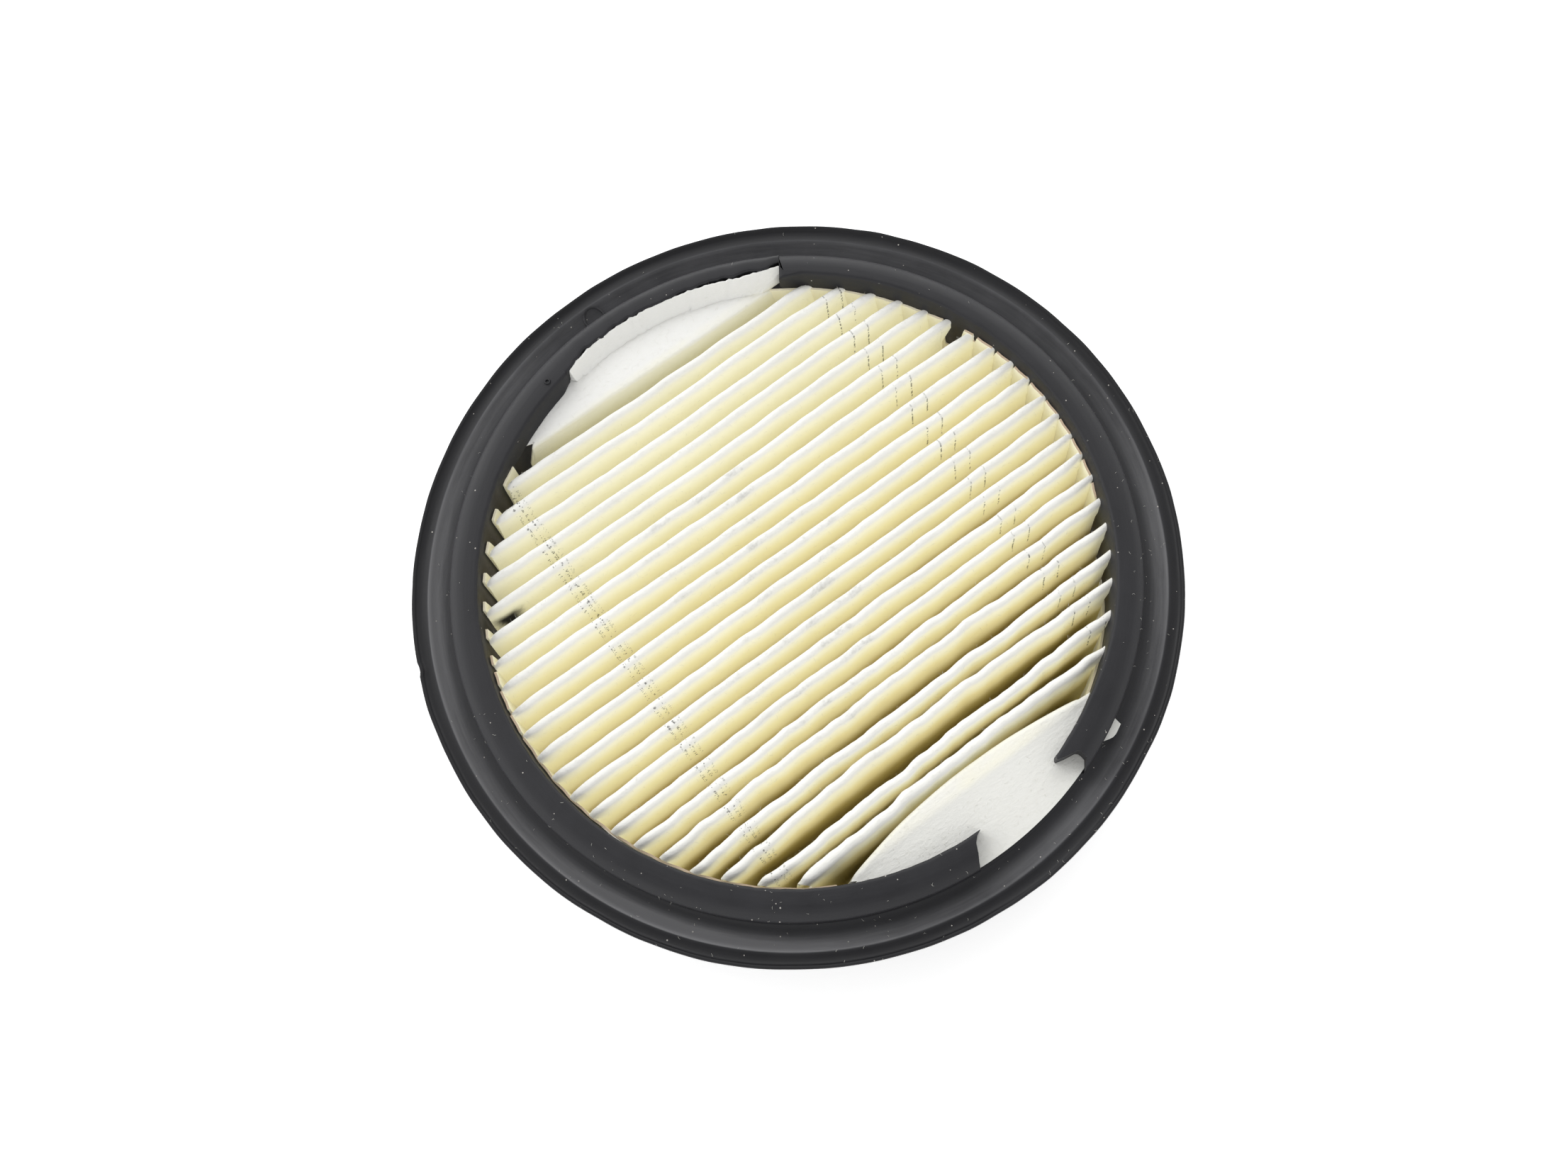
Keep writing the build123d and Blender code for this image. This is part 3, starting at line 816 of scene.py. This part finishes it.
# paper strips that close the pleat ends
strips = {
    "Radius": stripHigh.x - 0.3,
    "Bottom": stripLow.z,
    "Top": stripHigh.z,
    "Half Width": 0.0,  # filled in for each side, from the strip's own box
    "Shift": -1.0,
    "Pitch": pleats["Pitch"],
    "Crest Row": pleats["First Crease"],
    "Skew": pleats["Skew"],
    "Fan": pleats["Fan"],
    "Tooth Start": 0.84,  # share of the pitch, up from the crest below, where the edge dips
    "Tooth End": 1.0,
    "Tooth Depth": 3.0,
    "Tooth Limit": 34.0,  # no dips further back than this
    "Torn Depth": 0.0,  # deeper gaps between two rows
    "Torn Low": 25.0,
    "Torn High": 69.0,
    "Torn Right": 0.0,  # 1 for one long tear that gets shallower towards the front
    "Front Drop": 0.0,  # how far the top edge sinks towards the front and the back
    "Back Drop": 0.0,
    "Drop At": 5.0,
    "Hole At": -200.0,  # one more hole, across the pleats
    "Hole Depth": 14.0,
}


def endStripTree():
    inputs = [(name, "Float") for name in strips]
    tree, given = newTree("endStrip", inputs + [("Side", "Float"), ("Finish", "Material")])
    rows, columns = 12, 560
    grid = addNode(tree, "GeometryNodeMeshGrid", Size_X=1.0, Size_Y=1.0, Vertices_X=columns, Vertices_Y=rows)
    index = out(tree.nodes.new("GeometryNodeInputIndex"))
    column = (index / rows).to("FLOOR")
    climb = (index - column * rows) / (rows - 1)
    end = (given("Half Width") / given("Radius")).to("ARCSINE")
    angle = (column / ((columns - 1) / 2) - 1) * end
    y = given("Radius") * angle.to("SINE") + given("Shift")
    x = (given("Radius") * given("Radius") - y * y).to("SQRT") * given("Side")
    row = (y - given("Skew") * x) / (1 + given("Fan") * x)
    share = ((row - given("Crest Row")) / given("Pitch")).to("FRACT")
    tooth = smoothRamp(share, given("Tooth Start") - 0.05, given("Tooth Start")) * smoothRamp(
        share, given("Tooth End") + 0.04, given("Tooth End") - 0.02)
    tooth = tooth * smoothRamp(y, given("Tooth Limit") + 2, given("Tooth Limit") - 2)
    torn = smoothRamp(y, given("Torn Low"), given("Torn Low") + 3) * smoothRamp(
        y, given("Torn High"), given("Torn High") - 3)
    opened = smoothRamp(share, 0.42, 0.50).to("MAXIMUM", smoothRamp(share, 0.07, 0.03))
    opened = opened.to("MAXIMUM", given("Torn Right"))
    shallower = 1 - given("Torn Right") * (1 - smoothRamp(y, -72.0, -35.0)) * 0.95
    gap = opened * shallower * torn * given("Torn Depth")
    ragged = ripple(tree, y * 0.9, given("Side"), 3.0, 3.0) * 0.25
    hole = smoothRamp(abs(y - given("Hole At")), 3.2, 1.8) * given("Hole Depth")
    sunk = smoothRamp(y - given("Drop At"), 5.0, -5.0) * given("Front Drop")
    sunk = sunk + smoothRamp(y, 30.0, 38.0) * given("Back Drop")
    top = given("Top") - (tooth * given("Tooth Depth")).to("MAXIMUM", sunk) - gap - hole + ragged * 0.5
    z = given("Bottom") + (top - given("Bottom")) * climb
    # each facet is a little flat between its two crests
    flat = abs(share - 0.5) * 0.5 - 0.2
    outwards = (given("Side") > 0) * 0.5
    x = x + (flat + outwards) * given("Side")
    place = addNode(tree, "ShaderNodeCombineXYZ", X=x * mm, Y=y * mm, Z=z * mm)
    moved = addNode(tree, "GeometryNodeSetPosition", Geometry=out(grid, "Mesh"), Position=out(place))
    closeTree(tree, out(moved), given("Finish"))
    return tree


# loose fibres: paper fuzz on the crests, and lint on the rubber
fuzz = {
    "Length": 1.3,
    "Thickness": 0.045,
    "Density": 260000.0,  # fibres on a square metre
    "Lowest": 32.2,
    "Highest": 34.6,
    "Front Only": 0.0,  # 1 for more of them towards the front
    "Seed": 11,
}
lint = {
    "Length": 0.9,
    "Thickness": 0.075,
    "Density": 26000.0,
    "Lowest": 29.0,
    "Highest": 38.2,
    "Front Only": 1.0,
    "Seed": 5,
}
fibreShape = {
    "line": [(0, 0, 0), (0.3, 0.12, 0.2), (0.62, 0.05, 0.42), (1.0, -0.18, 0.34)],  # one unit long
    "thickness": 0.06,
    "corners": (0, 2.094, 4.189),  # round the line, in radians
}


def fibreMesh():
    # a bent three-sided fibre with a thin tip
    mesh = bmesh.new()
    rings = []
    for number, (x, y, z) in enumerate(fibreShape["line"]):
        size = (0.5 if number < 3 else 0.15) * fibreShape["thickness"]
        rings.append([mesh.verts.new((x, y + size * math.cos(turn), z + size * math.sin(turn)))
                      for turn in fibreShape["corners"]])
    for first, second in zip(rings, rings[1:]):
        for index in range(3):
            mesh.faces.new((first[index], first[(index + 1) % 3], second[(index + 1) % 3], second[index]))
    mesh.faces.new(rings[0][::-1])
    mesh.faces.new(rings[-1])
    bmesh.ops.recalc_face_normals(mesh, faces=mesh.faces)
    data = bpy.data.meshes.new("fibre")
    mesh.to_mesh(data)
    mesh.free()
    return bpy.data.objects.new("fibre", data)


def fibreTree():
    # fibres strewn on the upward faces of a piece, between two heights
    inputs = [(name, "Float") for name in fuzz if name != "Seed"]
    inputs += [("Seed", "Int"), ("Fibre", "Object"), ("Finish", "Material")]
    tree, given = newTree("looseFibres", inputs)
    place = addNode(tree, "ShaderNodeSeparateXYZ", Vector=out(tree.nodes.new("GeometryNodeInputPosition")))
    up = addNode(tree, "ShaderNodeSeparateXYZ", Vector=out(tree.nodes.new("GeometryNodeInputNormal")))
    z, y = out(place, 2) / mm, out(place, 1) / mm
    wanted = (z > given("Lowest")) * (z < given("Highest")) * (out(up, 2) > 0.2)
    nearFront = smoothRamp(y, 70.0, -80.0) * 0.85 + 0.15
    density = given("Density") * wanted * pick(given("Front Only"), nearFront, 1.0)
    points = addNode(tree, "GeometryNodeDistributePointsOnFaces", Mesh=given("Geometry"), Density=density,
                     Seed=given("Seed"))
    fibre = addNode(tree, "GeometryNodeObjectInfo", Object=given("Fibre"))
    turn = addNode(tree, "FunctionNodeRandomValue", {"data_type": "FLOAT_VECTOR"})
    turn.inputs[0].default_value = (-0.5, -0.5, 0)
    turn.inputs[1].default_value = (0.5, 0.3, 6.283)
    size = addNode(tree, "FunctionNodeRandomValue", {"data_type": "FLOAT"})
    size.inputs[2].default_value = 0.35
    size.inputs[3].default_value = 1.0
    plug(tree, given("Seed"), size.inputs["Seed"])
    long = out(size, 1) * given("Length") * mm
    thick = given("Thickness") * mm / fibreShape["thickness"]
    scale = addNode(tree, "ShaderNodeCombineXYZ", X=long, Y=thick * 0.5 + long * 0.4, Z=thick)
    placed = addNode(tree, "GeometryNodeInstanceOnPoints", Points=out(points, "Points"),
                     Instance=out(fibre, "Geometry"), Scale=out(scale))
    tree.links.new(turn.outputs[0], placed.inputs["Rotation"])
    closeTree(tree, out(placed), given("Finish"))
    return tree


rubber, paper, strip = rimRubber(), filterPaper(), stripPaper()
rimPiece = makeRim()
rimPiece.data.materials.append(rubber)
marksPiece = makeMouldMarks()
marksPiece.data.materials.append(rubber)

paperPiece = runTree("pleatedPaper", pleatedSheetTree(), {**pleats, "Finish": paper}, wall=pleats["Wall"])
paperPiece.data.set_sharp_from_angle(angle=math.radians(60))

stripSides = {
    "rightEndStrip": ("right_end_strip", 1.0, {
        "Torn Depth": 20.0, "Torn Low": -70.0, "Torn High": -32.0, "Torn Right": 1.0, "Hole At": 30.0,
        "Back Drop": 1.6, "Front Drop": 3.0, "Drop At": -31.0}),
    "leftEndStrip": ("left_end_strip", -1.0, {
        "Tooth Start": 0.02, "Tooth End": 0.2, "Tooth Depth": 2.4, "Tooth Limit": 26.0, "Torn Depth": 17.0,
        "Front Drop": 3.4}),
}
stripTree = endStripTree()
stripPieces = {}
for name, (node, side, changes) in stripSides.items():
    low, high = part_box(node)
    values = {**strips, **changes, "Half Width": (high.y - low.y) / 2 / mm, "Side": side, "Finish": strip}
    stripPieces[node] = runTree(name, stripTree, values, wall=0.6)
    stripPieces[node].data.set_sharp_from_angle(angle=math.radians(40))

fibre = fibreMesh()
fibres = fibreTree()
paperLint = lintFibre("paperLint", (0.82, 0.81, 0.74))
fuzzPiece = runTree("paperFuzz", fibres, {**fuzz, "Fibre": fibre, "Finish": paperLint}, paperPiece.data.copy())
lintPiece = runTree("rimLint", fibres, {**lint, "Fibre": fibre, "Finish": paperLint}, rimPiece.data.copy())
bpy.data.objects.remove(fibre)

finishes = {
    "rim_rubber": (rimPiece, marksPiece),
    "filter_paper": (paperPiece, fuzzPiece, lintPiece),
    "strip_paper": (stripPieces["right_end_strip"], stripPieces["left_end_strip"]),
}
for slot, pieces in finishes.items():
    for piece in pieces:
        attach(piece, "root")
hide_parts("seal_rim")
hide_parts("pleated_media")
for node, piece in stripPieces.items():
    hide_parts(node)
print("pieces placed")


studio = {
    "floorSize": 3.0,
    "floorColour": (0.93, 0.93, 0.93),
    "floorGlow": 0.45,  # a white backdrop lit from behind
    "ceiling": 0.36,  # light from straight above, and from each side
    "backSide": 1.5,
    "rightSide": 0.65,
    "leftSide": 1.1,
    "nearSide": 0.6,
    "lamp": 2.4,  # a brighter patch, high at the right
    "lampFrom": (0.66, 0.36, 0.66),
    "lampSpread": 24.0,
    "softboxPower": 4.5,
    "softboxSize": 0.9,
    "softboxPlace": (-0.25, 1.0, 1.25),
}


def makeFloor():
    half = studio["floorSize"] / 2
    mesh = bmesh.new()
    bmesh.ops.create_grid(mesh, x_segments=2, y_segments=2, size=half)
    floor = plainPiece("studioFloor", mesh, 30)
    material, tree, shader, place, _ = newMaterial("studioPaper")
    mottle = useGroup(tree, softMottle, Vector=place, Size_mm=180.0, Contrast=0.6)
    white = studio["floorColour"]
    colour = mixColour(tree, mottle, white, tuple(part * 0.99 for part in white))
    plugAll(shader, Base_Color=colour, Roughness=0.9, Specular_IOR_Level=0.1, Emission_Color=(1, 1, 1, 1),
            Emission_Strength=studio["floorGlow"])
    floor.data.materials.append(material)


def makeLights():
    world = bpy.data.worlds.new("studioWorld")
    world.use_nodes = True
    tree = world.node_tree
    tree.nodes["Background"].inputs[0].default_value = (1, 1, 1, 1)
    direction = out(tree.nodes.new("ShaderNodeTexCoord"), "Generated")
    split = addNode(tree, "ShaderNodeSeparateXYZ", Vector=direction)
    x, y, z = [out(split, axis) for axis in range(3)]
    low = 1 - z * z
    sides = ((y.to("MAXIMUM", 0.0) * studio["backSide"] + (-1 * y).to("MAXIMUM", 0.0) * studio["nearSide"])
             + (x.to("MAXIMUM", 0.0) * studio["rightSide"] + (-1 * x).to("MAXIMUM", 0.0) * studio["leftSide"]))
    toLamp = [axis * part for axis, part in zip((x, y, z), studio["lampFrom"])]
    lamp = (toLamp[0] + toLamp[1] + toLamp[2]).to("MAXIMUM", 0.0).to("POWER", studio["lampSpread"])
    bright = studio["ceiling"] + sides * low.to("SQRT") + lamp * studio["lamp"]
    plug(tree, bright, tree.nodes["Background"].inputs[1])
    bpy.context.scene.world = world
    light = bpy.data.lights.new("softbox", "AREA")
    light.energy = studio["softboxPower"]
    light.size = studio["softboxSize"]
    softbox = bpy.data.objects.new("softbox", light)
    softbox.location = studio["softboxPlace"]
    softbox.rotation_euler = (-Vector(studio["softboxPlace"])).to_track_quat("-Z", "Y").to_euler()
    bpy.context.scene.collection.objects.link(softbox)


view = {
    "azimuth": -24.6,
    "elevation": 73.6,
    "roll": -12.23,
    "distance": 407.1,
    "lookAt": (-4.48, -2.07, 32.0),
    "lens": 35.32,
}


def makeCamera():
    turn, tip, roll = [math.radians(view[name]) for name in ("azimuth", "elevation", "roll")]
    ahead = Vector((-math.sin(turn) * math.cos(tip), math.cos(turn) * math.cos(tip), -math.sin(tip)))
    right = Vector((math.cos(turn), math.sin(turn), 0))
    up = right.cross(ahead)
    rolledRight = right * math.cos(roll) + up * math.sin(roll)
    rolledUp = up * math.cos(roll) - right * math.sin(roll)
    data = bpy.data.cameras.new("studioCamera")
    data.lens = view["lens"]
    data.sensor_width = 36
    data.clip_start = 0.01
    camera = bpy.data.objects.new("studioCamera", data)
    camera.matrix_world = Matrix((rolledRight, rolledUp, -ahead)).transposed().to_4x4()
    camera.location = Vector(view["lookAt"]) * mm - ahead * view["distance"] * mm
    bpy.context.scene.collection.objects.link(camera)
    bpy.context.scene.camera = camera


makeFloor()
makeLights()
makeCamera()
bpy.context.scene.view_settings.view_transform = "Standard"
print("studio ready")
